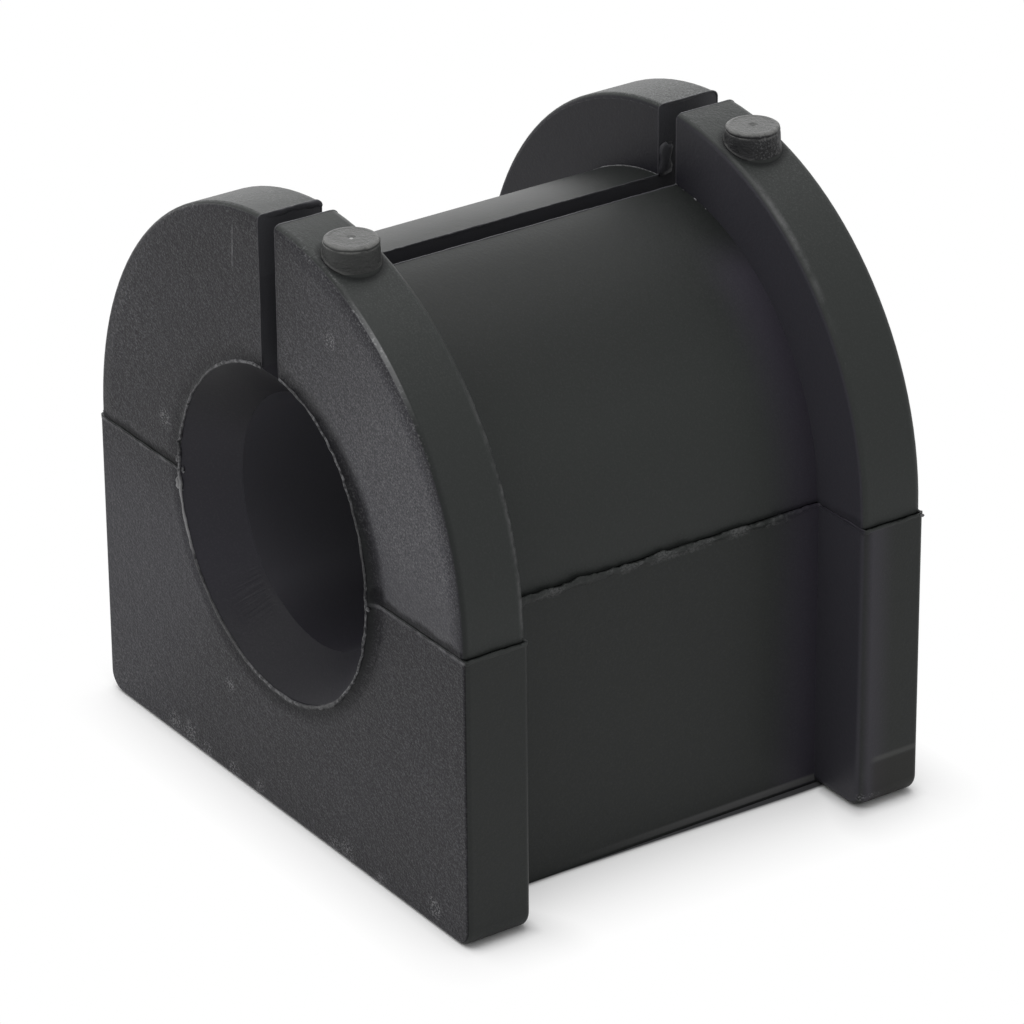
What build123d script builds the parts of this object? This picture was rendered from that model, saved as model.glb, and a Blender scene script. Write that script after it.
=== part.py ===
from build123d import *
import os

# Sway bar bushing, moulded in one piece from solid rubber. Millimetres.
# The bar runs along the Y axis, the origin is the middle of its bore, and +Z is up.
# The flat base rests on the vehicle's frame, and a bracket strap closes over the barrel
# between the two flanges.

# The bar, and the flared mouths that lead it in
bar_diameter = 19.0
mouth_diameter = 25.0
mouth_depth = 3.3

# Body
overall_length = 39.0
flange_diameter = 47.2
flange_thickness = 5.2
barrel_diameter = 36.4
base_drop = 22.4
slit_width = 2.1

# The mould halves closed on a film of rubber, which lifts the arches above the bore.
arch_lift = 0.4

# The lower mould half is a little larger all round, and a fine groove runs above the step.
mould_step = 0.25
groove_height = 0.2
groove_depth = 0.2

# Edge rounds
arch_front_round = 0.45
arch_back_round = 0.65
foot_corner_round = 1.5
foot_outline_round = 0.4
rear_foot_front_round = 0.7

# Locating nubs on top of the flanges, both on the same side of the slit
nub_diameter = 3.8
nub_offset = 6.7
nub_top = 24.5
nub_rim_bevel = 0.2
dimple_radius = 0.35
dimple_depth = 0.15

flange_radius = flange_diameter / 2
barrel_radius = barrel_diameter / 2
bore_radius = bar_diameter / 2
mouth_radius = mouth_diameter / 2
half_length = overall_length / 2
flange_centre = half_length - flange_thickness / 2
strap_span = overall_length - 2 * flange_thickness
foot_half_width = flange_radius + mould_step
barrel_half_width = barrel_radius + mould_step
size_match = 0.01


def arch_section(radius, station=0):
    """Half disc on short straight legs, across the bar at a station along it."""
    with BuildSketch(Plane.XZ.offset(-station)) as arch:
        with Locations((0, arch_lift)):
            Circle(radius)
        Rectangle(2 * radius, arch_lift, align=(Align.CENTER, Align.MIN))
        Rectangle(2 * radius, radius, align=(Align.CENTER, Align.MAX), mode=Mode.SUBTRACT)
    return arch.sketch


def foot_section(half_width, corner_round, station=0):
    """Square foot below the parting plane, with its two bottom corners rounded."""
    with BuildSketch(Plane.XZ.offset(-station)) as foot:
        Rectangle(2 * half_width, base_drop, align=(Align.CENTER, Align.MAX))
        if corner_round:
            fillet(foot.vertices().group_by(Axis.Y)[0], corner_round)
    return foot.sketch


def arcs_of(shape, radius):
    """Round edges of one radius, in groups from the front of the bushing to its back."""
    arcs = shape.edges().filter_by(GeomType.CIRCLE)
    return arcs.filter_by(lambda edge: abs(edge.radius - radius) < size_match).group_by(Axis.Y)


def outlines_of(feet):
    """Edges round the sides and bottoms of the feet, in groups from the front to the back."""
    below = feet.edges().filter_by(lambda edge: edge.center().Z < -size_match)
    return (below - below.filter_by(Axis.Y)).group_by(Axis.Y)


# Nub: a short peg with a broken rim and a dimple in its top
with BuildPart() as nub:
    with BuildSketch(Plane.XZ) as nub_section:
        with BuildLine():
            Polyline(
                (0, barrel_radius),
                (nub_diameter / 2, barrel_radius),
                (nub_diameter / 2, nub_top),
                (dimple_radius, nub_top),
                (0, nub_top - dimple_depth),
                close=True,
            )
        make_face()
        rim_corner = nub_section.vertices().group_by(Axis.Y)[-1].sort_by(Axis.X)[-1]
        chamfer(rim_corner, nub_rim_bevel)
    revolve(axis=Axis.Z)

# Upper mould half: an arched barrel between two arched flanges, open along the top
with BuildPart() as upper_half:
    for station in (-flange_centre, flange_centre):
        extrude(arch_section(flange_radius, station), amount=flange_thickness / 2, both=True)
    extrude(arch_section(barrel_radius), amount=strap_span / 2, both=True)
    with BuildSketch(Plane.XZ):
        Rectangle(slit_width, flange_diameter, align=(Align.CENTER, Align.MIN))
    extrude(amount=overall_length, both=True, mode=Mode.SUBTRACT)

    # Each flange is crisper on its front edge than on its back edge.
    front_rim, _, rear_flange_front_rim, _ = arcs_of(upper_half, flange_radius)
    fillet(front_rim + rear_flange_front_rim, arch_front_round)
    _, front_flange_back_rim, _, back_rim = arcs_of(upper_half, flange_radius)
    fillet(front_flange_back_rim + back_rim, arch_back_round)

    # One nub stands on each flange.
    for station in (-flange_centre, flange_centre):
        with Locations((nub_offset, station, 0)):
            add(nub.part)

# Lower mould half: a square barrel between two square feet
with BuildPart() as lower_half:
    for station in (-flange_centre, flange_centre):
        foot = foot_section(foot_half_width, foot_corner_round, station)
        extrude(foot, amount=flange_thickness / 2, both=True)

    # Each foot is rounded along its outline, and the rear one is softest on its front edge.
    rear_foot_front = outlines_of(lower_half)[2]
    fillet(rear_foot_front, rear_foot_front_round)
    outlines = outlines_of(lower_half)
    fillet(outlines[0] + outlines[1] + outlines[-1], foot_outline_round)

    # The barrel runs on into the feet, so that it covers their rounded edges.
    extrude(foot_section(barrel_half_width, 0), amount=flange_centre, both=True)

with BuildPart() as bushing:
    add(upper_half.part)
    add(lower_half.part)

    # Bore: straight where it grips the bar, flared at both mouths
    with BuildSketch(Plane.XY):
        with BuildLine():
            Polyline(
                (0, -half_length),
                (mouth_radius, -half_length),
                (bore_radius, -half_length + mouth_depth),
                (bore_radius, half_length - mouth_depth),
                (mouth_radius, half_length),
                (0, half_length),
                close=True,
            )
        make_face()
    revolve(axis=Axis.Y, mode=Mode.SUBTRACT)

    # Parting groove: a shallow cut into the outline just above the parting plane
    with BuildSketch(Plane.XY):
        Rectangle(2 * flange_diameter, 2 * overall_length)
        for station in (-flange_centre, flange_centre):
            with Locations((0, station)):
                Rectangle(
                    flange_diameter - 2 * groove_depth,
                    flange_thickness - 2 * groove_depth,
                    mode=Mode.SUBTRACT,
                )
        Rectangle(barrel_diameter - 2 * groove_depth, overall_length - flange_thickness, mode=Mode.SUBTRACT)
    extrude(amount=groove_height, mode=Mode.SUBTRACT)

bushing.part.label = "bushing"

os.makedirs("parts", exist_ok=True)
export_step(bushing.part, "parts/bushing.step")
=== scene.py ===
import math
import random

import bpy
from mathutils import Matrix, Vector


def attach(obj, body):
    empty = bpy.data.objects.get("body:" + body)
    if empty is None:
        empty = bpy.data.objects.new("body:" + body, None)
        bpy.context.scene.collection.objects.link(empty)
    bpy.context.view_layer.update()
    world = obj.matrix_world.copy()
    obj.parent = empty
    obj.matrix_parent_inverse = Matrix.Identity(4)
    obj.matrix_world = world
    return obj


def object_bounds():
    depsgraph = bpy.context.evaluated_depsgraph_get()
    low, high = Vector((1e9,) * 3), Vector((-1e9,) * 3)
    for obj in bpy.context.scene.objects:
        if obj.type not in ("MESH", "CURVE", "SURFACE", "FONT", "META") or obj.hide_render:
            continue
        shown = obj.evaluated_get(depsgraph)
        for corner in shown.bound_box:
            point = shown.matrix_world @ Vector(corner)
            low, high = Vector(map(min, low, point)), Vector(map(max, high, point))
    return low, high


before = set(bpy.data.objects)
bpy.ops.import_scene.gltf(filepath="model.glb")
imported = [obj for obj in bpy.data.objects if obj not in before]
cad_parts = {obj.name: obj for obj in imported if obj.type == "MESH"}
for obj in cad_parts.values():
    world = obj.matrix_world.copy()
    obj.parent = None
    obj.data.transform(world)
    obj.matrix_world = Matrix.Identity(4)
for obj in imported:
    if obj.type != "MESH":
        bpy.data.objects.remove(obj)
cad_low, cad_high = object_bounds()

# Body of the bushing.
# One block of solid black rubber, moulded in two halves that met at the middle of the bore.
# It is the imported solid itself, and gets its matt skin, mould grain, dust, and painted light and shade
# here.
mm = 0.001
flange_radius = 23.6
arch_lift = 0.4
foot_side = 23.85
barrel_side = 18.45
base_drop = 22.4
end_plane = 19.5
flange_face = 14.3
mouth_radius = 12.5
mouth_depth = 3.3
bore_radius = 9.5
slit_side = 1.05
nub_place = 6.7
nub_station = 16.9
nub_radius = 1.9
nub_top = 24.5
nub_foot = 22.6
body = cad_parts["bushing"]

rubber = bpy.data.materials.new("moulded_rubber")
rubber.use_nodes = True


def work_on(owner):
    """Let the helpers below add their nodes to a material, or to the world."""
    global nodes, links
    nodes = owner.node_tree.nodes
    links = owner.node_tree.links


def plug_in(plug, value):
    """Join a socket to a plug, or set the plug to a plain value."""
    if isinstance(value, bpy.types.NodeSocket):
        links.new(value, plug)
    else:
        plug.default_value = value


def calc(operation, first, second=0.0):
    """Arithmetic on two values."""
    node = nodes.new("ShaderNodeMath")
    node.operation = operation
    plug_in(node.inputs[0], first)
    plug_in(node.inputs[1], second)
    return node.outputs["Value"]


def times(*values):
    """The product of several values."""
    product = values[0]
    for value in values[1:]:
        product = calc("MULTIPLY", product, value)
    return product


def most(*values):
    """The largest of several values."""
    largest = values[0]
    for value in values[1:]:
        largest = calc("MAXIMUM", largest, value)
    return largest


def above(value, level):
    """One where a value is above a level, and nought elsewhere."""
    return calc("GREATER_THAN", value, level)


def below(value, level):
    """One where a value is below a level, and nought elsewhere."""
    return calc("LESS_THAN", value, level)


def hypotenuse(first, second):
    """The distance that two distances square to each other make."""
    return calc("SQRT", calc("ADD", times(first, first), times(second, second)))


def fade(value, nought_at, one_at):
    """Nought on one side of a soft step and one on the other, whichever way the step goes."""
    node = nodes.new("ShaderNodeMapRange")
    node.interpolation_type = "SMOOTHSTEP"
    plug_in(node.inputs["Value"], value)
    node.inputs["From Min"].default_value = nought_at
    node.inputs["From Max"].default_value = one_at
    return node.outputs["Result"]


def blend(amount, first, second):
    """Mix two values or two colours by an amount."""
    node = nodes.new("ShaderNodeMix")
    node.data_type = "FLOAT" if float in (type(first), type(second)) else "RGBA"
    plugs = [plug for plug in node.inputs if plug.enabled]
    for plug, value in zip(plugs, (amount, first, second)):
        plug_in(plug, value)
    return next(plug for plug in node.outputs if plug.enabled)


def split(vector):
    """The three parts of a vector."""
    node = nodes.new("ShaderNodeSeparateXYZ")
    links.new(vector, node.inputs["Vector"])
    return node.outputs


def in_millimetres(spot):
    """A place that is measured in metres, as millimetres."""
    node = nodes.new("ShaderNodeVectorMath")
    node.operation = "SCALE"
    node.inputs["Scale"].default_value = 1 / mm
    links.new(spot, node.inputs[0])
    return node.outputs["Vector"]


work_on(rubber)
shader = nodes["Principled BSDF"]
coordinates = nodes.new("ShaderNodeTexCoord")
place = coordinates.outputs["Object"]
measured = in_millimetres(place)
stretched = nodes.new("ShaderNodeMapping")
stretched.inputs["Scale"].default_value = (0.65, 0.85, 1.0)
links.new(place, stretched.inputs["Vector"])


def speckle(scale, detail, at=stretched.outputs["Vector"]):
    """Noise through the rubber, with its grains counted per metre."""
    node = nodes.new("ShaderNodeTexNoise")
    node.inputs["Scale"].default_value = scale
    node.inputs["Detail"].default_value = detail
    node.inputs["Roughness"].default_value = 0.6
    links.new(at, node.inputs["Vector"])
    return node.outputs["Fac"]


def distance_from(x, y, z):
    """Distance in millimetres from one point of the bushing."""
    node = nodes.new("ShaderNodeVectorMath")
    node.operation = "DISTANCE"
    node.inputs[1].default_value = (x, y, z)
    links.new(measured, node.inputs[0])
    return node.outputs["Value"]


# Where a point of the rubber lies, in millimetres from the middle of the bore
across, along, height = split(measured)
_, facing_along, facing_up = split(coordinates.outputs["Normal"])
off_middle = calc("ABSOLUTE", across)
off_centre = calc("ABSOLUTE", along)
off_floor = calc("ADD", height, base_drop)
reach = hypotenuse(across, height)
arch_reach = hypotenuse(across, calc("SUBTRACT", height, arch_lift))
sideways = calc("DIVIDE", across, reach)
upward = calc("DIVIDE", height, reach)
end_face = fade(calc("ABSOLUTE", facing_along), 0.70, 0.95)
outer_face = times(end_face, above(off_centre, end_plane - 0.3))
upper_half = above(height, 0.1)
lower_half = below(height, 0.0)
front = below(along, 0.0)
rear = above(along, 0.0)
on_barrel = below(off_centre, flange_face + 0.05)

# The grains of the rubber and of the dust, from the finest to the broadest
grit = speckle(7500, 2, place)
specks = fade(speckle(5600, 2), 0.54, 0.70)
fine_grain = speckle(5000, 3)
coarse_grain = speckle(1400, 4)
waves = speckle(450, 4, place)
patches = speckle(110, 3)
tops = times(fade(facing_up, 0.60, 1.0), fade(arch_reach, 21.0, 22.5), fade(patches, 0.30, 0.55))

# The rubber is a little green on its sides, darker on the lower half and darker still on the barrel's crown.
# Near the rear flange the barrel is painted paler and more purple, painted light where the corner's shade
# falls.
green = blend(lower_half, (0.0200, 0.0224, 0.0212, 1), (0.0140, 0.0157, 0.0148, 1))
barrel_crown = times(below(arch_reach, 19.0), fade(height, 9.0, 18.0))
green = blend(barrel_crown, green, (0.0088, 0.0102, 0.0095, 1))
junction_painted_light = times(fade(along, 9.5, 13.5), on_barrel, fade(height, 17.5, 15.0))
green = blend(junction_painted_light, green, (0.0275, 0.0250, 0.0335, 1))
# The rear foot's rounded front corner gets a painted highlight.
foot_corner_highlight = times(
    fade(along, flange_face, flange_face + 0.7), fade(along, flange_face + 2.9, flange_face + 0.7),
    above(across, foot_side - 0.35), lower_half,
)
green = blend(foot_corner_highlight, green, (0.0280, 0.0265, 0.0330, 1))

# Toward the rear the barrel's lower edge has a painted highlight line, with a painted shadow strip under it,
# where the real barrel stood a little clear of the floor.
toward_rear = times(fade(along, -10.0, 12.0), on_barrel)
painted_edge_highlight = times(fade(off_floor, 0.90, 0.65), fade(off_floor, 0.18, 0.30), toward_rear)
green = blend(painted_edge_highlight, green, (0.0800, 0.0800, 0.0810, 1))
painted_gap_shadow = times(fade(off_floor, 0.22, 0.12), toward_rear)
green = blend(painted_gap_shadow, green, (0.0100, 0.0106, 0.0106, 1))

# The ends and the bore get a purple cast, a painted tint of reflected light on the faces turned to the ends.
# The inner faces of the flanges are painted darker on the left and paler toward the right. The flared mouths
# get painted shade at the top, where they face down, and a darker tone at the very bottom.
purple_cast = most(end_face, below(reach, mouth_radius + 0.1))
tone = blend(purple_cast, green, (0.0042, 0.0036, 0.0060, 1))
inner_painted_light = blend(fade(across, -2.0, 8.0), (0.0030, 0.0026, 0.0060, 1), (0.0330, 0.0320, 0.0390, 1))
tone = blend(calc("SUBTRACT", end_face, outer_face), tone, inner_painted_light)
flare_painted_light_and_shade = blend(fade(upward, -1.0, -0.5), (0.0060, 0.0056, 0.0085, 1), (0.0160, 0.0152, 0.0205, 1))
flare_painted_light_and_shade = blend(fade(upward, 0.20, 0.65), flare_painted_light_and_shade, (0.0050, 0.0045, 0.0070, 1))
tone = blend(below(reach, mouth_radius + 0.05), tone, flare_painted_light_and_shade)

# Down the bore and in the slit the tone is lifted as painted light, and painted shade darkens the bottom of
# the bore. The nub tops get a painted highlight where they face up.
down_slit = times(below(off_middle, slit_side + 0.1), above(height, 9.0))
down_bore = times(below(reach, bore_radius + 0.1), below(off_centre, end_plane - mouth_depth))
painted_bore_light = blend(fade(height, -9.6, -7.0), (0.022, 0.021, 0.026, 1), (0.055, 0.054, 0.062, 1))
tone = blend(most(down_bore, times(down_slit, 0.6)), tone, painted_bore_light)
near_nub_top = above(height, nub_top - 0.4)
nub_top_highlight = times(fade(facing_up, 0.45, 0.95), near_nub_top)
tone = blend(nub_top_highlight, tone, (0.085, 0.086, 0.084, 1))

# The sides of the nubs are dark, the rear one's more so, with a painted highlight on the broken rim where it
# turns up and, on the front one, a white dot in the dimple.
nub_across = calc("SUBTRACT", across, nub_place)
nub_reach = hypotenuse(nub_across, calc("SUBTRACT", off_centre, nub_station))
nub_skin = times(fade(nub_reach, nub_radius + 0.30, nub_radius + 0.14), above(height, nub_foot))
nub_tone = blend(rear, (0.034, 0.035, 0.034, 1), (0.017, 0.017, 0.018, 1))
tone = blend(times(nub_skin, calc("SUBTRACT", 1.0, nub_top_highlight)), tone, nub_tone)
nub_dot = times(fade(nub_reach, 0.18, 0.08), front, near_nub_top)
tone = blend(nub_dot, tone, (0.400, 0.400, 0.400, 1))
nub_rim_highlight = times(
    nub_skin, fade(nub_reach, nub_radius - 0.35, nub_radius - 0.05), fade(facing_up, 0.15, 0.60),
    fade(coarse_grain, 0.30, 0.55), 0.6,
)
tone = blend(nub_rim_highlight, tone, (0.160, 0.160, 0.155, 1))

# The ends were cast against a sanded plate: they have grain and a patchy grey bloom, heaviest
# on the right of the upper half.
off_collar = fade(reach, mouth_radius + 0.3, mouth_radius + 2.0)
chalked = times(
    fade(sideways, -0.1, 1.1), upper_half, outer_face, off_collar, blend(fade(height, 0.0, 6.0), 0.75, 1.0),
)
tone = blend(times(chalked, 0.60), tone, (0.082, 0.081, 0.091, 1))
bloom = times(
    fade(fine_grain, 0.42, 0.64), fade(patches, 0.25, 0.66), blend(outer_face, 0.12, 1.0), off_collar, 0.42,
)
broad_bloom = times(fade(sideways, -0.4, -0.9), fade(height, 2.0, -6.0), outer_face, 0.5)
tone = blend(most(bloom, broad_bloom), tone, (0.042, 0.041, 0.050, 1))

# Grit: pale grains and dark pits, coarse on the ends, finer over the tops of the flanges, and
# on the nubs mostly along the right edge of the rear one.
face_grit = times(outer_face, blend(times(chalked, fade(height, 1.0, 6.0)), 0.25, 0.55))
top_grit = blend(tops, 0.03, blend(fade(across, 0.5, -0.5), 0.14, 0.50))
nub_edge = times(fade(nub_across, nub_radius - 0.5, nub_radius), rear, 0.35)
nub_grit = times(nub_skin, most(times(fade(patches, 0.45, 0.60), 0.4), nub_edge))
grit_share = most(face_grit, top_grit, nub_grit)
tone = blend(times(fade(grit, 0.50, 0.66), grit_share), tone, (0.150, 0.150, 0.155, 1))
tone = blend(times(fade(grit, 0.48, 0.34), grit_share), tone, (0.003, 0.003, 0.004, 1))

# Painted shade darkens the ends and lowers their sheen where they roll away at the rim on the right, beside
# the collar and above the parting line. It does the same at the knot of rubber at the right of the mouth and
# at the roots of the nubs.
rolled_rim_shade = times(
    fade(arch_reach, flange_radius - 1.1, flange_radius - 0.45), fade(sideways, 0.20, 0.55),
    fade(off_centre, end_plane - 0.55, end_plane - 0.15), upper_half, 0.38,
)
collar_side_shade = times(
    fade(reach, mouth_radius + 1.7, mouth_radius - 0.2), fade(off_centre, end_plane - 0.3, end_plane),
    fade(reach, mouth_radius, mouth_radius + 0.1), blend(fade(sideways, -0.6, 0.3), 0.35, 0.90),
)
wavy_height = calc("SUBTRACT", height, times(waves, 1.2))
seam_shade = times(
    fade(wavy_height, 0.30, -0.15), above(height, 0.02), end_face, blend(outer_face, 0.35, 1.0),
)
knot_shade = times(fade(distance_from(13.1, -end_plane, 0.7), 1.3, 0.4), upper_half)
nub_shade = times(
    fade(nub_reach, nub_radius + 0.80, nub_radius + 0.30),
    fade(nub_reach, nub_radius + 0.12, nub_radius + 0.22), above(height, nub_foot - 1.1), 0.6,
)
shaded = most(rolled_rim_shade, collar_side_shade, seam_shade, knot_shade, nub_shade)
tone = blend(times(shaded, 0.8), tone, (0.002, 0.002, 0.003, 1))
links.new(blend(shaded, 0.195, 0.085), shader.inputs["Specular IOR Level"])
# Below the parting line the ledge of the lower half is pale: torn flash, and a painted highlight where the
# ledge catches the light.
ledge_flash_and_highlight = times(
    fade(height, -0.32, -0.12), fade(height, 0.12, 0.02), outer_face, fade(coarse_grain, 0.30, 0.60),
    fade(waves, 0.40, 0.55), 0.8,
)
tone = blend(ledge_flash_and_highlight, tone, (0.100, 0.100, 0.106, 1))

# Pale specks lie in patches, and thickest along the worn outline of each flange.
rim = times(fade(arch_reach, flange_radius - 0.9, flange_radius - 0.1), upper_half)
low_edge = times(most(fade(off_middle, foot_side - 0.5, foot_side), fade(off_floor, 1.5, 0.3)), lower_half)
near_end = fade(off_centre, end_plane - 0.9, end_plane - 0.2)
worn_outline = times(most(rim, low_edge), near_end, fade(patches, 0.35, 0.60), fade(sideways, 0.45, 0.30))
clusters = most(times(worn_outline, 0.8), times(outer_face, fade(patches, 0.52, 0.72), 0.5))
# On the rounded rim of each end face a painted highlight is broken up into specks.
rim_highlight_specks = times(
    fade(arch_reach, flange_radius - 0.75, flange_radius - 0.45), upper_half,
    fade(off_centre, end_plane - 0.35, end_plane - 0.05), fade(waves, 0.42, 0.56),
    fade(sideways, 0.10, 0.25), fade(sideways, 0.90, 0.75), 0.8,
)
tone = blend(times(most(clusters, rim_highlight_specks), specks), tone, (0.130, 0.130, 0.135, 1))

# The front flange's front edge gets a painted highlight on the upper right, broken up by specks.
arris_highlight_specks = times(
    fade(arch_reach, flange_radius - 0.28, flange_radius - 0.18), upper_half, front,
    fade(off_centre, end_plane - 0.38, end_plane - 0.28),
    fade(sideways, 0.36, 0.62), fade(sideways, 0.79, 0.57),
    blend(fade(waves, 0.35, 0.60), 0.5, 1.0), blend(specks, 0.6, 1.0), 0.9,
)
tone = blend(arris_highlight_specks, tone, (0.250, 0.252, 0.256, 1))

# Crumbs of dust cling here and there, most of them along the foot's front edge. Each spot is
# a point and how far the crumbs lie around it.
dust_spots = [
    (7.8, -end_plane, 17.9, 1.0), (-14.5, -end_plane, 3.4, 1.1), (-6.7, -end_plane, -14.9, 0.8),
    (-14.6, -end_plane, -21.4, 1.3), (-12.4, -end_plane, -21.3, 1.3), (-10.2, -end_plane, -21.8, 1.1),
    (-6.6, -end_plane, -21.8, 1.0), (-3.0, -end_plane, -21.6, 0.8), (6.8, -end_plane, -21.8, 1.0),
    (8.6, -end_plane, -21.6, 1.3), (12.8, -end_plane, -21.9, 0.8), (19.6, -end_plane, -20.9, 1.2),
    (foot_side, 15.4, -21.4, 0.5), (foot_side, 16.0, -21.5, 0.4), (foot_side - 0.3, 14.6, -21.4, 0.5),
]
crumbs = most(*(fade(distance_from(x, y, z), size, 0.3 * size) for x, y, z, size in dust_spots))
tone = blend(times(crumbs, fade(grit, 0.50, 0.62), 0.7), tone, (0.170, 0.170, 0.175, 1))

# The flanges' rounded edges beside the barrel get painted highlights, and streaks of the barrel's flash are
# pale.
front_flange_edge_highlight = times(
    fade(arch_reach, flange_radius - 0.5, flange_radius - 0.1), fade(coarse_grain, 0.35, 0.60),
    fade(off_centre, flange_face + 0.75, flange_face + 0.25), fade(sideways, 0.60, 0.90), upper_half, front,
)
rear_flange_edge_highlight = times(
    fade(arch_reach, flange_radius - 0.4, flange_radius - 0.1), fade(waves, 0.35, 0.60),
    fade(along, flange_face + 0.05, flange_face + 0.30), fade(along, flange_face + 0.80, flange_face + 0.45),
    fade(sideways, 0.34, 0.52), fade(sideways, 0.84, 0.62),
)
streaked = times(
    fade(arch_reach, barrel_side - 0.1, barrel_side + 0.1), below(off_centre, flange_face - 0.3),
    fade(calc("ABSOLUTE", height), 0.55, 0.30), fade(waves, 0.50, 0.62), fade(grit, 0.35, 0.60),
)
tone = blend(times(most(front_flange_edge_highlight, rear_flange_edge_highlight, streaked), 0.45), tone, (0.110, 0.110, 0.112, 1))

# One faint scratch runs down the front face, left of the slit and a little out of true.
scratch_foot = -5.64
scratch_lean = 0.0545
from_scratch = calc("SUBTRACT", calc("SUBTRACT", across, scratch_foot), times(height, scratch_lean))
scratch = times(
    fade(calc("ABSOLUTE", from_scratch), 0.09, 0.03), fade(height, 18.2, 19.5), fade(height, 22.6, 21.5),
    below(along, 0.5 - end_plane), blend(fade(coarse_grain, 0.35, 0.60), 0.4, 1.0), 0.7,
)
tone = blend(scratch, tone, (0.150, 0.150, 0.155, 1))

# A crease runs level across the side of the rear right foot, and the rubber is duller below it.
crease_height = 3.95
on_foot = times(above(across, foot_side - 0.65), fade(along, 15.0, 15.8))
tone = blend(times(fade(off_floor, 4.0, 3.4), on_foot, 0.6), tone, (0.0130, 0.0120, 0.0105, 1))
off_crease = calc("ABSOLUTE", calc("SUBTRACT", off_floor, crease_height))
tone = blend(times(fade(off_crease, 0.35, 0.05), on_foot, 0.6), tone, (0.060, 0.060, 0.058, 1))
links.new(tone, shader.inputs["Base Color"])
links.new(blend(patches, 0.42, 0.52), shader.inputs["Roughness"])

# Relief: the grain, score marks low on the left of the front flare, and the soft swell of each
# end face of the upper half, which falls away to the parting line, the mouth and the rim.
swell_rise = 0.24 * mm
score_depth = 0.09 * mm
fine_depth = 0.055 * mm
coarse_depth = 0.060 * mm
swell = times(
    fade(height, 0.0, 1.5), fade(reach, mouth_radius + 0.2, mouth_radius + 1.9),
    fade(arch_reach, flange_radius - 0.1, flange_radius - 1.6), upper_half,
    blend(fade(sideways, -0.3, 0.7), 0.45, 1.0),
)
hollow = times(fade(reach, mouth_radius + 0.2, mouth_radius + 1.4), lower_half, 0.5)
form = times(calc("ADD", swell, hollow), outer_face, swell_rise)
bore_turn = calc("ARCTAN2", height, across)
streak_place = nodes.new("ShaderNodeCombineXYZ")
links.new(times(bore_turn, 12 * mm), streak_place.inputs["X"])
links.new(times(reach, 0.12 * mm), streak_place.inputs["Y"])
streaks = nodes.new("ShaderNodeTexNoise")
streaks.inputs["Scale"].default_value = 2600
links.new(streak_place.outputs["Vector"], streaks.inputs["Vector"])
scored = times(
    fade(bore_turn, -2.50, -2.35), fade(bore_turn, -2.0, -2.2), fade(reach, 9.6, 10.0),
    fade(reach, 12.0, 11.0), below(along, -15.5), streaks.outputs["Fac"], score_depth,
)
grain = calc("ADD", times(fine_grain, fine_depth), times(coarse_grain, coarse_depth))
grain = times(grain, most(outer_face, blend(tops, 0.22, 0.60), times(nub_skin, 1.4)))
bump = nodes.new("ShaderNodeBump")
bump.inputs["Distance"].default_value = 1.0
links.new(calc("ADD", calc("ADD", form, scored), grain), bump.inputs["Height"])
links.new(bump.outputs["Normal"], shader.inputs["Normal"])
body.data.materials.clear()
body.data.materials.append(rubber)

# Rolled collars and torn lips around the two mouths of the bore.
# Rubber that squeezed out beside the core pin: a soft collar on the end face, and on its crest
# a thin skirt that tore off unevenly. Both stop at the slit, and the front ones vary on the way.
torn_rubber = rubber.copy()
torn_rubber.name = "torn_rubber"
work_on(torn_rubber)
lip_place = nodes.new("ShaderNodeTexCoord").outputs["Object"]
lip_across, lip_along, lip_height = split(in_millimetres(lip_place))
pale_grains = fade(speckle(3200, 3, lip_place), 0.38, 0.64)
torn_tone = blend(pale_grains, (0.030, 0.030, 0.032, 1), (0.135, 0.135, 0.140, 1))

# The front lip is pale just below the left end of the parting line and dull in five places; the widest, low
# on the left, is painted shade.
# Turns are in degrees, from the right of the mouth and up.
on_front = below(lip_along, 1.0 - end_plane)
lip_turn = times(calc("ARCTAN2", lip_height, lip_across), math.degrees(1))
lip_pale = fade(calc("ABSOLUTE", calc("SUBTRACT", lip_turn, -165.5)), 16, 6)
torn_tone = blend(times(lip_pale, on_front, 0.75), torn_tone, (0.300, 0.300, 0.305, 1))
lip_dull_and_shade = 0.0
for middle, width in [(-128, 26), (-64, 18), (20, 20), (73, 10), (136, 12)]:
    off_dull = calc("ABSOLUTE", calc("SUBTRACT", lip_turn, middle))
    lip_dull_and_shade = most(lip_dull_and_shade, fade(off_dull, width, 0.5 * width))
torn_tone = blend(times(lip_dull_and_shade, on_front, 0.70), torn_tone, (0.045, 0.045, 0.046, 1))
links.new(torn_tone, nodes["Principled BSDF"].inputs["Base Color"])


def ragged(seed, spacing):
    """A random curve along a length, from -1 to 1, with finer tears upon its waves."""
    dice = random.Random(seed)
    knots = [dice.uniform(-1, 1) for _ in range(997)]

    def wave(distance):
        step, part = divmod(distance, 1)
        part = part * part * (3 - 2 * part)
        first = knots[int(step) % len(knots)]
        second = knots[(int(step) + 1) % len(knots)]
        return first + (second - first) * part

    def curve(length):
        distance = length / spacing
        return 0.55 * wave(distance) + 0.30 * wave(3.1 * distance + 41) + 0.15 * wave(9.7 * distance + 83)

    return curve


def swelling(turn, form):
    """A size at a turn round the mouth. A form is its least size, and humps upon it."""
    least, humps = form
    return sum((size * math.exp(-((turn - middle) / width) ** 2) for size, middle, width in humps), least)


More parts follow.
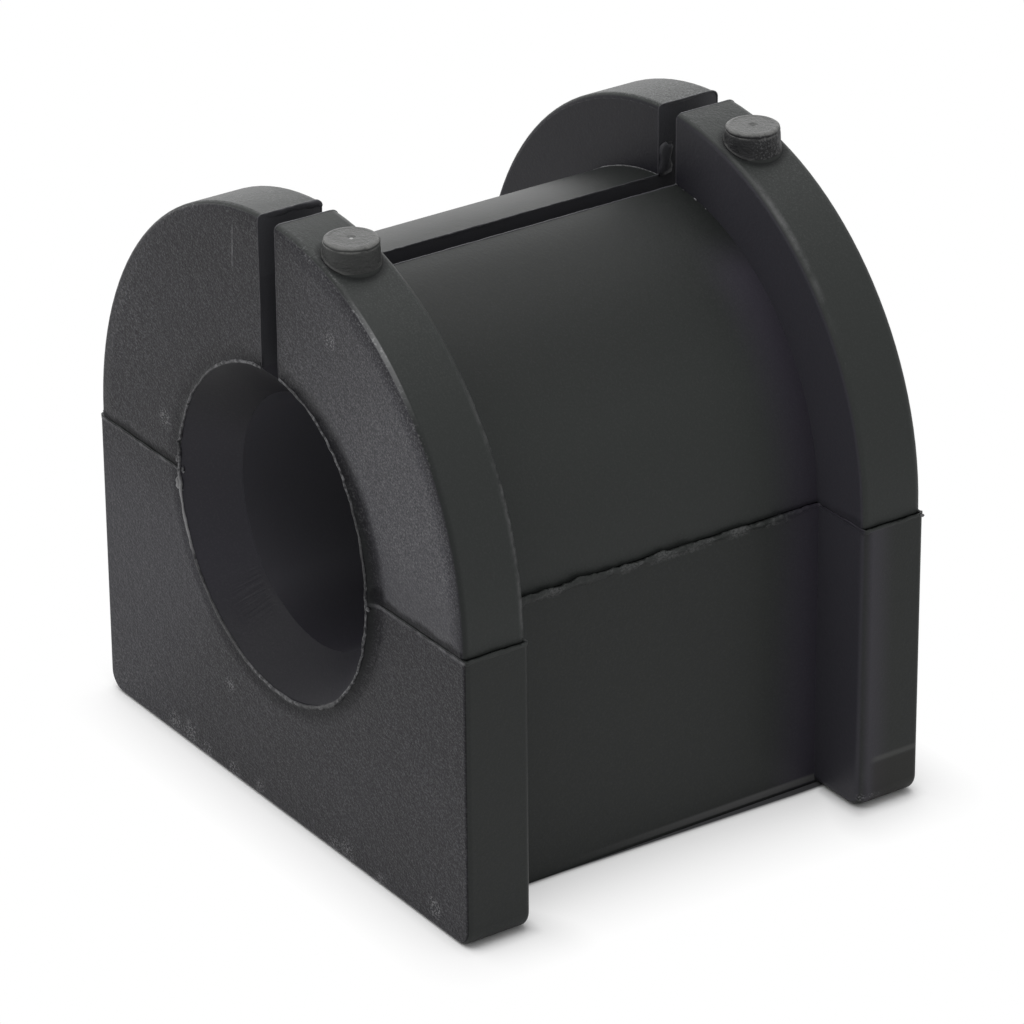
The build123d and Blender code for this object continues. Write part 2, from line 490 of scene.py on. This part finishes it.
def skin_rings(name, rings, material, closed=False):
    """A closed body through a row of rings of points, in millimetres."""
    count = len(rings[0])
    points = [Vector(point) * mm for ring in rings for point in ring]
    pairs = [(i, i + 1) for i in range(len(rings) - 1)]
    faces = []
    if closed:
        pairs.append((len(rings) - 1, 0))
    else:
        faces.append(list(range(count))[::-1])
        faces.append([len(points) - count + i for i in range(count)])
    for first, second in pairs:
        for i in range(count):
            j = (i + 1) % count
            faces.append((first * count + i, first * count + j, second * count + j, second * count + i))
    mesh = bpy.data.meshes.new(name)
    mesh.from_pydata(points, [], faces)
    mesh.polygons.foreach_set("use_smooth", [True] * len(mesh.polygons))
    mesh.materials.append(material)
    piece = bpy.data.objects.new(name, mesh)
    bpy.context.scene.collection.objects.link(piece)
    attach(piece, "root")
    return piece


lip_step = 0.14
slit_turn = 95.2


def around_mouth(name, side, section, material):
    """A body around one mouth, from one side of the slit to the other."""
    rings = []
    turn = slit_turn
    while turn < 540 - slit_turn:
        angle = math.radians(turn)
        ring = []
        for out, proud in section(turn, mouth_radius * angle):
            off_axis = mouth_radius + out
            ring.append((off_axis * math.cos(angle), side * (end_plane + proud), off_axis * math.sin(angle)))
        rings.append(ring if side < 0 else ring[::-1])
        turn += math.degrees(lip_step / mouth_radius)
    return skin_rings(name, rings, material)


def collar_and_lip(name, side, collar_form, lip_form, notch_form, seed):
    """The soft collar of one mouth, and the torn lip on its crest."""
    wander, rise, tear = ragged(seed, 2.5), ragged(seed + 1, 1.3), ragged(seed + 2, 0.6)

    def collar_height(turn, length):
        return swelling(turn, collar_form) * (1 + 0.2 * wander(length + 7))

    def crest_shift(turn, length):
        return 0.06 * wander(length) + swelling(turn, notch_form)

    def collar(turn, length):
        tall = collar_height(turn, length)
        wide = 0.45 + 1.1 * tall
        shift = crest_shift(turn, length)
        return [
            (-0.05, -0.30), (-0.03 + 0.5 * shift, 0.0), (shift, 0.9 * tall), (0.06 + shift, tall),
            (0.15 * wide + shift, 0.86 * tall), (0.4 * wide, 0.40 * tall), (0.7 * wide, 0.10 * tall),
            (wide, -0.01), (wide + 0.5, -0.05), (wide + 0.5, -0.30),
        ]

    def lip(turn, length):
        tall = collar_height(turn, length)
        stand = max(0.03, 0.09 + 0.07 * rise(length) + 0.06 * tear(length))
        thick = max(0.05, swelling(turn, lip_form) * (1 + 0.5 * tear(length + 19)))
        shift = crest_shift(turn, length) + 0.03 * tear(length + 53)
        return [
            (shift, tall - 0.12), (-0.05 + shift, tall - 0.02), (-0.05 + shift, tall + 0.7 * stand),
            (shift, tall + stand), (thick + shift - 0.03, tall + stand), (thick + shift, tall + 0.6 * stand),
            (thick + shift + 0.02, tall - 0.08), (0.5 * thick + shift, tall - 0.14),
        ]

    around_mouth(name + "_collar", side, collar, rubber)
    around_mouth(name + "_lip", side, lip, torn_rubber)


# Each form is a least size, then humps: size, turn in degrees, and width in degrees. The front
# collar is tallest on the right of the mouth and nearly gone at its top.
front_collar = (0.05, [(0.52, 358, 42), (0.14, 300, 25), (0.08, 185, 30)])
front_lip = (0.09, [(0.18, 306, 11), (0.13, 278, 22), (0.10, 182, 6), (0.08, 114, 16)])
front_notch = (0.0, [(0.30, 169.5, 1.3), (-0.18, 184.5, 1.6)])
collar_and_lip("front_mouth", -1, front_collar, front_lip, front_notch, 11)
collar_and_lip("rear_mouth", 1, (0.14, []), (0.09, []), (0.0, []), 23)

# Flash along the parting line.
# The rubber that crept between the two mould halves: it stands on the top edge of the lower half
# all the way round, thin on the flanges and torn into a shaggy ridge along the barrel.
flash_step = 0.14
bend_steps = 6
bend_step = 0.05


def rounded_route(corners, rounds):
    """Places along a flat route with rounded corners: point, outward direction, length and leg."""
    places = []
    length = 0.0
    for leg in range(len(corners) - 1):
        start, end = Vector(corners[leg]), Vector(corners[leg + 1])
        ahead = (end - start).normalized()
        first = start + ahead * rounds[leg]
        last = end - ahead * rounds[leg + 1]
        steps = max(2, int((last - first).length / flash_step))
        for i in range(steps):
            places.append((first.lerp(last, i / steps), Vector((ahead.y, -ahead.x)), length, leg))
            length += flash_step
        if leg + 2 < len(corners):
            onward = (Vector(corners[leg + 2]) - end).normalized()
            after = end + onward * rounds[leg + 1]
            for i in range(bend_steps):
                part = i / bend_steps
                point = last.lerp(end, part).lerp(end.lerp(after, part), part)
                course = ahead.lerp(onward, part).normalized()
                places.append((point, Vector((course.y, -course.x)), length, leg))
                length += bend_step
    return places


# The form of each leg of the route: its bulge, its height above the parting plane, and its
# depth below it. The leg along the barrel is the shaggy one.
flash_forms = [
    (0.05, 0.14, 0.18),
    (0.03, 0.21, 0.12),
    (0.04, 0.15, 0.20),
    (0.20, 0.34, 0.36),
    (0.04, 0.15, 0.20),
    (0.03, 0.21, 0.12),
    (0.05, 0.14, 0.18),
]
barrel_leg = 3
thin_top = 0.15


def parting_flash(name, side, seed):
    """The ragged flash on one side of the bushing, from its front mouth to its rear mouth."""
    corners = [
        (mouth_radius + 0.1, -end_plane), (foot_side, -end_plane), (foot_side, -flange_face),
        (barrel_side, -flange_face), (barrel_side, flange_face), (foot_side, flange_face),
        (foot_side, end_plane), (mouth_radius + 0.1, end_plane),
    ]
    fill, lift, tear = ragged(seed, 1.1), ragged(seed + 1, 2.2), ragged(seed + 2, 0.45)
    rings = []
    for point, outward, length, leg in rounded_route(corners, [0, 0.4, 0.4, 0.15, 0.15, 0.4, 0.4, 0]):
        bulge, top, drop = flash_forms[leg]
        if leg == barrel_leg:
            full = 0.25 + 0.75 * min(1.0, (flange_face - abs(point.y)) / 3.0)
            bulge, top, drop = bulge * full, thin_top + (top - thin_top) * full, drop * full
        bulge *= 1 + 0.7 * fill(length) + 0.7 * tear(length)
        top *= 1 + (0.6 if leg == barrel_leg else 0.4) * lift(length) + 0.3 * tear(length + 5)
        drop *= 1 + 0.8 * fill(length + 31) + 0.5 * tear(length + 11)
        thick = 0.07 + 0.3 * bulge
        ring = []
        for out, up in (
            (-0.15, -drop - 0.05), (-0.02, -drop), (0.14 * bulge, -0.75 * drop), (0.50 * bulge, -0.35 * drop),
            (bulge, 0.3 * top), (0.85 * bulge, top), (0.85 * bulge - thick, top - 0.02),
            (-0.12, 0.05 + 0.6 * top), (-0.22, -0.06),
        ):
            at = point + outward * out
            ring.append((side * at.x, at.y, up))
        rings.append(ring if side > 0 else ring[::-1])
    return skin_rings(name, rings, rubber)


parting_flash("parting_flash_right", 1, 37)
parting_flash("parting_flash_left", -1, 53)

# Flash along the edges of the slit.
# The blade that formed the slit left a fine raised edge on both walls, front to back, with a
# lumpy smear on top of the left half, and torn scraps of the film hang on here and there.
barrel_radius = 18.2
flange_top = arch_lift + math.sqrt(flange_radius ** 2 - slit_side ** 2)
barrel_top = arch_lift + math.sqrt(barrel_radius ** 2 - slit_side ** 2)

# The form of each leg, from the front mouth over the top to the rear mouth: how far it bulges
# into the slit, how high it stands and how deep it reaches.
slit_forms = [
    (0.03, 0.03, 0.10),
    (0.16, 0.03, 0.40),
    (0.03, 0.02, 0.10),
    (0.04, 0.05, 0.12),
    (-0.03, -0.03, 0.05),
    (0.05, 0.02, 0.16),
    (0.03, 0.02, 0.10),
]


def slit_edge(name, side, amount, seed):
    """The raised edge of one wall of the slit, up, along and down the whole bushing."""
    corners = [
        (-end_plane, mouth_radius + 0.1), (-end_plane, flange_top), (-flange_face, flange_top),
        (-flange_face, barrel_top), (flange_face, barrel_top), (flange_face, flange_top),
        (end_plane, flange_top), (end_plane, mouth_radius + 0.1),
    ]
    lump, tear = ragged(seed, 1.4), ragged(seed + 1, 0.5)
    rings = []
    for point, outward, length, leg in rounded_route(corners, [0, 0.45, 0.65, 0.1, 0.1, 0.45, 0.65, 0]):
        bulge, stand, drop = (amount * size for size in slit_forms[leg])
        bulge *= max(0.15, 1 + 1.3 * lump(length) + 0.5 * tear(length))
        stand *= max(0.2, 1 + 0.7 * tear(length + 7))
        drop *= max(0.3, 1 + 0.9 * lump(length + 3))
        ring = []
        for out, inward in (
            (-drop - 0.05, -0.08), (-drop, 0.0), (-0.6 * drop, 0.8 * bulge), (-0.1 * drop, bulge),
            (stand, 0.6 * bulge), (stand, -0.04), (0.4 * stand, -0.09), (-0.06, -0.14),
        ):
            at = point - outward * out
            ring.append((side * (slit_side - inward), at.x, at.y))
        rings.append(ring if side < 0 else ring[::-1])
    return skin_rings(name, rings, rubber)


slit_edge("slit_edge_left", -1, 1.0, 71)
slit_edge("slit_edge_right", 1, 0.6, 83)


def torn_flake(name, outline, origin, right_way, up_way, thickness, material=torn_rubber):
    """A torn scrap of flash: an outline in millimetres on a tilted plane, given a thickness."""
    right_way, up_way = Vector(right_way).normalized(), Vector(up_way).normalized()
    outward = right_way.cross(up_way)
    middle = Vector(origin)
    centre = sum((Vector(point) for point in outline), Vector((0, 0))) / len(outline)
    rings = []
    for shrink, depth in ((0.7, -0.5), (1.0, -0.2), (1.0, 0.2), (0.7, 0.5)):
        ring = []
        for x, y in outline:
            level = middle + right_way * (centre.x + (x - centre.x) * shrink)
            raised = level + up_way * (centre.y + (y - centre.y) * shrink)
            ring.append(raised + outward * depth * thickness)
        rings.append(ring)
    return skin_rings(name, rings, material)


# The tongue stands on the left wall, where the slit enters the rear flange.
tongue = [
    (0.00, -0.10), (0.55, -0.05), (1.00, 0.10), (1.10, 0.60), (0.90, 1.10),
    (1.02, 1.60), (1.15, 2.00), (1.00, 2.30), (0.78, 2.22), (0.58, 2.48),
    (0.32, 2.42), (0.06, 2.20), (0.00, 1.70), (0.10, 1.20), (0.00, 0.60),
]
tongue_foot = (-slit_side + 0.06, flange_face + 0.02, barrel_top)
torn_flake("slit_tongue", tongue, tongue_foot, (0.1, 1, 0), (0, 0, 1), 0.30, rubber)

# The small scraps share one outline: name, size, place, and the ways of its length and width
scrap = [
    (-0.5, -0.2), (0.0, -0.35), (0.45, -0.25), (0.6, 0.1),
    (0.3, 0.3), (-0.1, 0.2), (-0.45, 0.3), (-0.7, 0.05),
]
scraps = [
    ("lip_tatter_low", 0.75, (-12.72, -end_plane - 0.12, -1.0), (0, 0, 1), (-1, -0.3, 0)),
    ("lip_tatter_high", 0.45, (-12.72, -end_plane - 0.15, 0.9), (0.1, 0, 1), (-1, -0.2, 0)),
    ("lip_shred_a", 0.26, (-12.52, -end_plane - 0.12, -0.45), (1, 0.5, 0.1), (0, 0, 0.5)),
    ("lip_shred_b", 0.30, (-12.50, -end_plane - 0.10, -0.80), (1, 0.5, -0.1), (0, 0, 0.5)),
    ("lip_shred_c", 0.24, (-12.48, -end_plane - 0.10, -1.15), (1, 0.5, 0.2), (0, 0, 0.5)),
    ("lip_shred_d", 0.28, (-12.44, -end_plane - 0.08, -1.50), (1, 0.5, 0.0), (0, 0, 0.5)),
    ("lip_knot", 0.50, (12.62, -end_plane - 0.55, -0.35), (1, 0, -0.4), (0.4, 0, 1)),
    ("tongue_scrap_a", 0.30, (-0.88, 14.72, 20.55), (0, 1, 0.4), (0.3, 0, 1)),
    ("tongue_scrap_b", 0.24, (-0.86, 15.02, 20.42), (0.2, 1, 1.2), (0.3, 0, 1)),
    ("tongue_scrap_c", 0.20, (-0.88, 15.25, 20.93), (0, 1, 0.2), (0.5, 0, 1)),
    ("tongue_scrap_d", 0.20, (-0.86, 14.66, 18.84), (0, 0.4, 1), (0.3, -1, 0.2)),
    ("mouth_tatter_left", 0.42, (-12.38, -end_plane + 0.08, 0.10), (0, 0, 1), (0.67, 0.74, 0)),
    ("mouth_tatter_right", 0.36, (12.40, -end_plane + 0.06, 0.10), (0, 0, 1), (-0.67, 0.74, 0)),
    ("junction_speck_a", 0.22, (1.25, flange_face - 0.06, 18.62), (1, 0, -0.1), (0, -0.5, 1)),
    ("junction_speck_b", 0.18, (2.10, flange_face - 0.05, 18.50), (1, 0, -0.1), (0, -0.5, 1)),
    ("junction_speck_c", 0.28, (3.55, flange_face - 0.06, 18.28), (1, 0, -0.2), (0, -0.5, 1)),
    ("junction_speck_d", 0.16, (4.80, flange_face - 0.05, 17.98), (1, 0, -0.25), (0, -0.5, 1)),
    ("left_spike", 0.35, (-foot_side - 0.1, -end_plane + 0.5, 0.08), (1, 0, 0.1), (0.1, 0.3, 1)),
    ("right_spike", 0.40, (foot_side + 0.05, end_plane - 0.3, 0.05), (1, 0.6, 0.0), (0, 0.3, 1)),
]
for name, size, origin, right_way, up_way in scraps:
    thin = 0.35 if "shred" in name else 1.0
    torn_flake(name, [(x * size, y * size * thin) for x, y in scrap], origin, right_way, up_way, 0.35 * size)


def junction_bead(name, first_turn, last_turn, seed):
    """A fine bright bead in the corner where the barrel meets the rear flange."""
    tear = ragged(seed, 0.8)
    rings = []
    steps = int(math.radians(last_turn - first_turn) * barrel_radius / flash_step)
    for i in range(steps + 1):
        angle = math.radians(first_turn + (last_turn - first_turn) * i / steps)
        taper = math.sin(math.pi * i / steps) ** 0.5
        size = 0.045 * taper * (1 + 0.7 * tear(i * flash_step)) + 0.01
        ring = []
        for up, out in (
            (-0.1, -0.1), (-0.1, size), (0.0, size), (0.7 * size, 0.6 * size), (size, 0.0), (size, -0.1),
        ):
            rise = (barrel_radius + up) * math.sin(angle)
            ring.append(((barrel_radius + up) * math.cos(angle), flange_face - out, arch_lift + rise))
        rings.append(ring)
    return skin_rings(name, rings, torn_rubber)


junction_bead("junction_bead", 93.5, 122.0, 97)

# Lips and roots of the two nubs.
# Each nub pulled a thin lip outward when it left the mould, and it runs out into the flange
# with a soft root.
arch_round = 0.45
nub_steps = 96


def arch_top(x, y_gap):
    """Height of a flange's top at a place across it, given the gap to the nearer end edge."""
    past_round = max(0.0, arch_round - y_gap)
    round_drop = arch_round - math.sqrt(max(0.0, arch_round ** 2 - past_round ** 2))
    return arch_lift + math.sqrt(flange_radius ** 2 - x ** 2) - round_drop


def dress_nub(name, station, tuck, seed):
    """The torn lip around one nub's top and the soft root at its foot."""
    tear, wave = ragged(seed, 0.7), ragged(seed + 1, 2.0)
    lip_rings, root_rings = [], []
    for i in range(nub_steps):
        angle = 2 * math.pi * i / nub_steps
        length = nub_radius * angle

        # The last few steps calm down, so that the ring closes without a jump
        calm = min(1.0, 6 * (1 - i / nub_steps))
        rough = tear(length) * calm
        wide = 0.06 + 0.05 * wave(length) * calm + 0.05 * rough
        ring = []
        for out, up in (
            (-0.50, -0.05), (-0.42, 0.00), (-0.32, 0.01 + 0.02 * rough), (-0.19, 0.01 + 0.02 * rough),
            (-0.07, -0.03), (0.4 * wide, -0.10), (wide, -0.20), (0.8 * wide, -0.29),
            (-0.02, -0.40), (-0.30, -0.25),
        ):
            x = nub_place + (nub_radius + out) * math.cos(angle)
            y = station + (nub_radius + out) * math.sin(angle)
            ring.append((x, y, nub_top + up))
        lip_rings.append(ring)
        ring = []
        bulge = 0.02 * wave(length + 3) * calm + 0.02 * rough
        for out, share, up in (
            (-0.10, 1.0, -0.24), (tuck, 1.0, -0.28), (0.07 + bulge, 0.75, -0.03),
            (0.09 + bulge, 0.50, 0.0), (0.10 + bulge, 0.28, 0.0), (0.12 + 0.5 * bulge, 0.14, 0.0),
            (0.17, 0.0, 0.07), (0.27, 0.0, -0.03), (0.24, 0.0, -0.25), (-0.10, 0.0, -0.25),
        ):
            x = nub_place + (nub_radius + out) * math.cos(angle)
            y = station + (nub_radius + out) * math.sin(angle)
            foot = arch_top(x, min(end_plane - abs(y), abs(y) - flange_face))
            ring.append((x, y, foot + (nub_top - foot) * share + up))
        root_rings.append(ring)
    skin_rings(name + "_lip", lip_rings, rubber, closed=True)
    skin_rings(name + "_root", root_rings, rubber, closed=True)


dress_nub("front_nub", -nub_station, 0.06, 103)
dress_nub("rear_nub", nub_station, 0.02, 109)

# Floor the bushing stands on.
# A plain white sheet that keeps the soft shadow; seen directly, or in a reflection, it is lifted
# to clean white away from the rubber.
floor_size = 4.0
bpy.ops.mesh.primitive_plane_add(size=floor_size, location=(0, 0, cad_low.z))
floor = bpy.context.object
floor.name = "floor"
paper = bpy.data.materials.new("white_paper")
paper.use_nodes = True
work_on(paper)
sheet = nodes["Principled BSDF"]
sheet.inputs["Roughness"].default_value = 1.0
sheet.inputs["Specular IOR Level"].default_value = 0.0
glow = nodes.new("ShaderNodeEmission")
glow.inputs["Strength"].default_value = 1.0


def seen_share():
    """One for the rays that show a thing as it is: direct, mirrored or through something clear."""
    ray = nodes.new("ShaderNodeLightPath")
    kinds = ("Is Camera Ray", "Is Glossy Ray", "Is Transmission Ray")
    return most(*(ray.outputs[kind] for kind in kinds))


def growing(value, start, full, share):
    """A share that grows evenly between two values."""
    node = nodes.new("ShaderNodeMapRange")
    plug_in(node.inputs["Value"], value)
    node.inputs["From Min"].default_value = start
    node.inputs["From Max"].default_value = full
    node.inputs["To Max"].default_value = share
    return node.outputs["Result"]


floor_place = nodes.new("ShaderNodeTexCoord").outputs["Object"]
floor_across, floor_along, _ = split(in_millimetres(floor_place))


def past_block(middle, half_wide, half_long):
    """Distance on the floor from the outline of one block of the underside."""
    beyond = calc("ABSOLUTE", calc("SUBTRACT", calc("ABSOLUTE", floor_along), middle))
    past_side = calc("SUBTRACT", calc("ABSOLUTE", floor_across), half_wide)
    past_end = calc("SUBTRACT", beyond, half_long)
    return hypotenuse(most(past_side, 0.0), most(past_end, 0.0))


# The shadow is kept whole at the rubber and fades in two steps away from it. A dark line is painted on the
# floor along the barrel's foot as contact shadow. Toward the rear, where the real barrel stood a little clear
# of the floor, this line and the kept shadow reach further out.
half_foot = (end_plane - flange_face) / 2
past_feet = past_block(flange_face + half_foot, foot_side, half_foot)
gap = growing(floor_along, -8.0, 12.0, 0.56)
past_barrel = calc("SUBTRACT", past_block(0.0, barrel_side, flange_face), gap)
clear_of_feet = calc("ADD", growing(past_feet, 0.0, 0.9, 0.34), growing(past_feet, 0.0, 5.0, 0.66))
clear_of_barrel = calc("ADD", growing(past_barrel, 0.0, 0.6, 0.33), growing(past_barrel, 0.0, 9.5, 0.67))
clear_sheet = calc("MINIMUM", clear_of_feet, clear_of_barrel)
# The dark line at the barrel's foot is painted contact shadow.
past_painted_contact_shadow = growing(past_barrel, 0.0, 0.35, 1.0)
links.new(blend(past_painted_contact_shadow, (0.075, 0.075, 0.079, 1), (0.90, 0.90, 0.90, 1)), sheet.inputs["Base Color"])
sheet_mix = nodes.new("ShaderNodeMixShader")
links.new(times(clear_sheet, seen_share()), sheet_mix.inputs["Fac"])
links.new(sheet.outputs["BSDF"], sheet_mix.inputs[1])
links.new(glow.outputs["Emission"], sheet_mix.inputs[2])
links.new(sheet_mix.outputs["Shader"], nodes["Material Output"].inputs["Surface"])
floor.data.materials.append(paper)

# Studio light.
# An even white room that lights the rubber a little more softly than it looks, a large softbox
# overhead and a low one behind on the left.
world = bpy.data.worlds.new("white_studio")
bpy.context.scene.world = world
world.use_nodes = True
work_on(world)
room = nodes["Background"]
room.inputs["Color"].default_value = (1, 1, 1, 1)
links.new(blend(seen_share(), 0.55, 1.0), room.inputs["Strength"])


def hang_lamp(name, size, power, spot):
    """A square softbox at a spot, turned to the bushing."""
    lamp = bpy.data.lights.new(name, "AREA")
    lamp.shape = "SQUARE"
    lamp.size = size
    lamp.energy = power
    holder = bpy.data.objects.new(name, lamp)
    bpy.context.scene.collection.objects.link(holder)
    holder.location = spot
    holder.rotation_euler = (-Vector(spot)).to_track_quat("-Z", "Y").to_euler()


hang_lamp("top_softbox", 0.8, 5.0, (-0.10, -0.10, 0.70))
hang_lamp("back_softbox", 0.5, 0.9, (-0.60, 0.42, 0.22))

# Camera of the photograph.
# A long lens, to the right of the front face and above it, leaning by half a degree. Its pose
# was fitted to the outline and the parting line in the photo.
camera_azimuth = math.radians(55.728)
camera_elevation = math.radians(26.523)
camera_roll = math.radians(-0.494)
camera_distance = 422.89 * mm
aim_right = 0.556 * mm
aim_up = -3.751 * mm
aim_height = 0.31 * mm
camera_back = Vector((
    math.sin(camera_azimuth) * math.cos(camera_elevation),
    -math.cos(camera_azimuth) * math.cos(camera_elevation),
    math.sin(camera_elevation),
))
level_right = Vector((math.cos(camera_azimuth), math.sin(camera_azimuth), 0))
level_up = camera_back.cross(level_right)
camera_right = level_right * math.cos(camera_roll) + level_up * math.sin(camera_roll)
camera_up = level_up * math.cos(camera_roll) - level_right * math.sin(camera_roll)
camera_aim = Vector((0, 0, aim_height)) + camera_right * aim_right + camera_up * aim_up
lens = bpy.data.cameras.new("camera")
lens.sensor_width = 36
lens.lens = 207.28
lens.clip_start = 0.01
camera = bpy.data.objects.new("camera", lens)
bpy.context.scene.collection.objects.link(camera)
camera_turn = Matrix((camera_right, camera_up, camera_back)).transposed()
camera.matrix_world = Matrix.Translation(camera_aim + camera_back * camera_distance) @ camera_turn.to_4x4()
bpy.context.scene.camera = camera
bpy.context.scene.view_settings.view_transform = "Standard"
